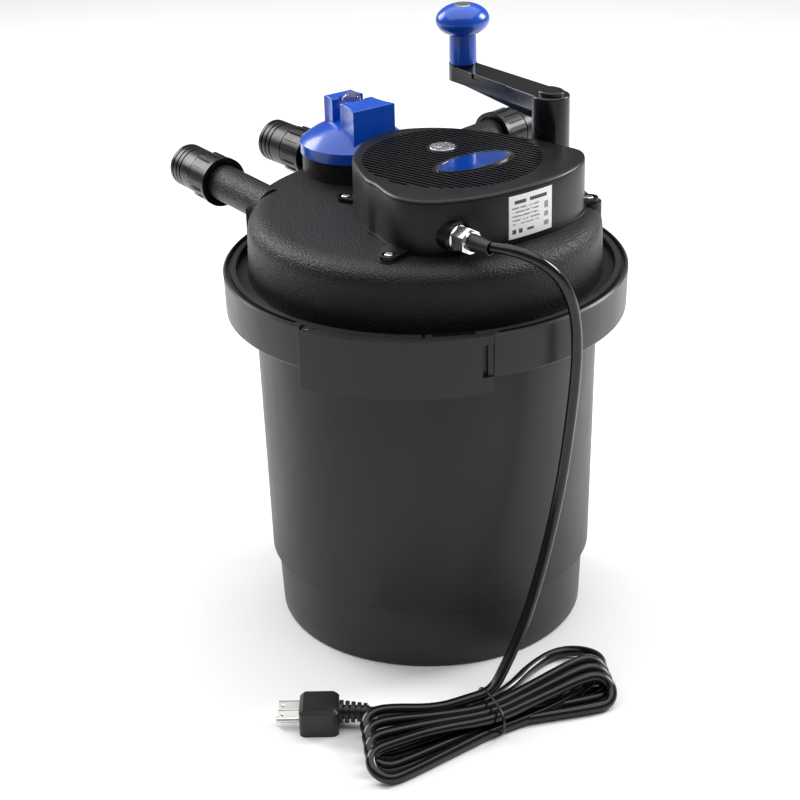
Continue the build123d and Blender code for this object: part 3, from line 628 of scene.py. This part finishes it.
class FILTER_OT_inside(bpy.types.Operator):
    """Lamp, sponges and gears inside the canister"""

    bl_idname = "filter.inside"
    bl_label = "Inside parts"

    def execute(self, context):
        dress(white_finish(), "pinion", "carousel_gear", "base_plate", "lamp_socket")
        dress(sponge("coarse_sponge", (0.02, 0.09, 0.40), 4.0 * MM), "lower_foam", "middle_foam")
        dress(sponge("fine_sponge", (0.62, 0.53, 0.22), 2.0 * MM), "upper_foam")
        dress(port_finish(), "core_tube", "scraper_bar")
        dress(metal("rod_steel", STEEL, 0.3), "tie_rods")
        dress(clear("quartz", (0.92, 0.95, 0.96), 0.03), "quartz_sleeve", "uv_lamp")
        dress(rubber("sleeve_ring", SOFT_BLACK, 0.5), "sleeve_seal")
        return {"FINISHED"}


# ------------------------------------------------------------------ stage
EYE = Vector((0.0, -1.61908, 0.93949))
TILT = 25.219               # the eye looks down by this many degrees
ROLL = -1.061
AIM_LEFT = 0.0126682         # tangent of how far left of the canister's axis it aims
LENS = 99.0
SOFTBOXES = (
    # name, place, what it faces, side, power
    ("ceiling_softbox", (0.0, 0.4, 2.4), (0, 0.4, 0.0), 4.0, 96.0),
    ("key_softbox", (-1.3, 0.9, 1.15), (0, 0, 0.34), 0.9, 22.0),
    ("edge_softbox", (1.4, 0.5, 1.0), (0, 0, 0.28), 0.55, 20.0),
)


def camera_axes():
    tilt, roll = radians(TILT), radians(ROLL)
    forward = Vector((0, cos(tilt), -sin(tilt)))
    up = Vector((0, sin(tilt), cos(tilt)))
    side = Vector((1, 0, 0))
    right = side * cos(roll) + up * sin(roll)
    forward = (forward - right * AIM_LEFT).normalized()
    right = (right - forward * right.dot(forward)).normalized()
    return right, right.cross(forward), forward


class FILTER_OT_stage(bpy.types.Operator):
    """White floor, soft studio lights and the camera"""

    bl_idname = "filter.stage"
    bl_label = "Stage"

    def execute(self, context):
        shape = bmesh.new()
        bmesh.ops.create_grid(shape, x_segments=1, y_segments=1, size=6.0)
        mesh = bpy.data.meshes.new("floor")
        shape.to_mesh(mesh)
        shape.free()
        floor = bpy.data.objects.new("floor", mesh)
        context.scene.collection.objects.link(floor)
        pale = Finish("pale_floor").set(Roughness=0.6)
        pale.colour(pale.blend(pale.noise(0.7, 2.0), (0.90, 0.90, 0.90), (0.92, 0.92, 0.92)))
        mesh.materials.append(pale.material)
        for setting in SOFTBOXES:
            self.light(*setting)
        world = bpy.data.worlds.new("studio")
        world.use_nodes = True
        world.node_tree.nodes["Background"].inputs["Color"].default_value = (1, 1, 1, 1)
        world.node_tree.nodes["Background"].inputs["Strength"].default_value = 0.16
        context.scene.world = world
        lens = bpy.data.cameras.new("camera")
        lens.lens = LENS
        lens.sensor_width = 36.0
        camera = bpy.data.objects.new("camera", lens)
        right, up, forward = camera_axes()
        turn = Matrix((right, up, -forward)).transposed()
        camera.matrix_world = Matrix.Translation(EYE) @ turn.to_4x4()
        context.scene.collection.objects.link(camera)
        context.scene.camera = camera
        context.scene.view_settings.view_transform = "Standard"
        return {"FINISHED"}

    def light(self, name, place, target, size, power):
        data = bpy.data.lights.new(name, "AREA")
        data.shape = "SQUARE"
        data.size = size
        data.energy = power
        lamp = bpy.data.objects.new(name, data)
        lamp.location = place
        lamp.rotation_euler = (Vector(target) - Vector(place)).to_track_quat("-Z", "Y").to_euler()
        bpy.context.scene.collection.objects.link(lamp)


class FILTER_PT_panel(bpy.types.Panel):
    """Lists the steps that build the pond filter's looks"""

    bl_label = "Pond filter"
    bl_idname = "FILTER_PT_panel"
    bl_space_type = "VIEW_3D"
    bl_region_type = "UI"
    bl_category = "Pond filter"

    def draw(self, context):
        for step in STEPS:
            self.layout.operator(f"filter.{step}")
        for group in (context.scene.pond_filter_sizes, context.scene.pond_filter_colours):
            for name in group.__annotations__:
                self.layout.prop(group, name)


STEPS = ("stage", "cord", "canister", "lid", "ports", "lamp_housing", "dial", "crank", "inside")
CLASSES = (
    FilterSizes, FilterColours, FILTER_OT_cord, FILTER_OT_canister, FILTER_OT_lid, FILTER_OT_ports,
    FILTER_OT_lamp_housing, FILTER_OT_dial, FILTER_OT_crank, FILTER_OT_inside, FILTER_OT_stage,
    FILTER_PT_panel,
)


def register():
    for item in CLASSES:
        bpy.utils.register_class(item)
    bpy.types.Scene.pond_filter_sizes = bpy.props.PointerProperty(type=FilterSizes)
    bpy.types.Scene.pond_filter_colours = bpy.props.PointerProperty(type=FilterColours)


def unregister():
    del bpy.types.Scene.pond_filter_colours
    del bpy.types.Scene.pond_filter_sizes
    for item in reversed(CLASSES):
        bpy.utils.unregister_class(item)


def main():
    register()
    for step in STEPS:
        getattr(bpy.ops.filter, step)()


if __name__ == "__main__":
    main()
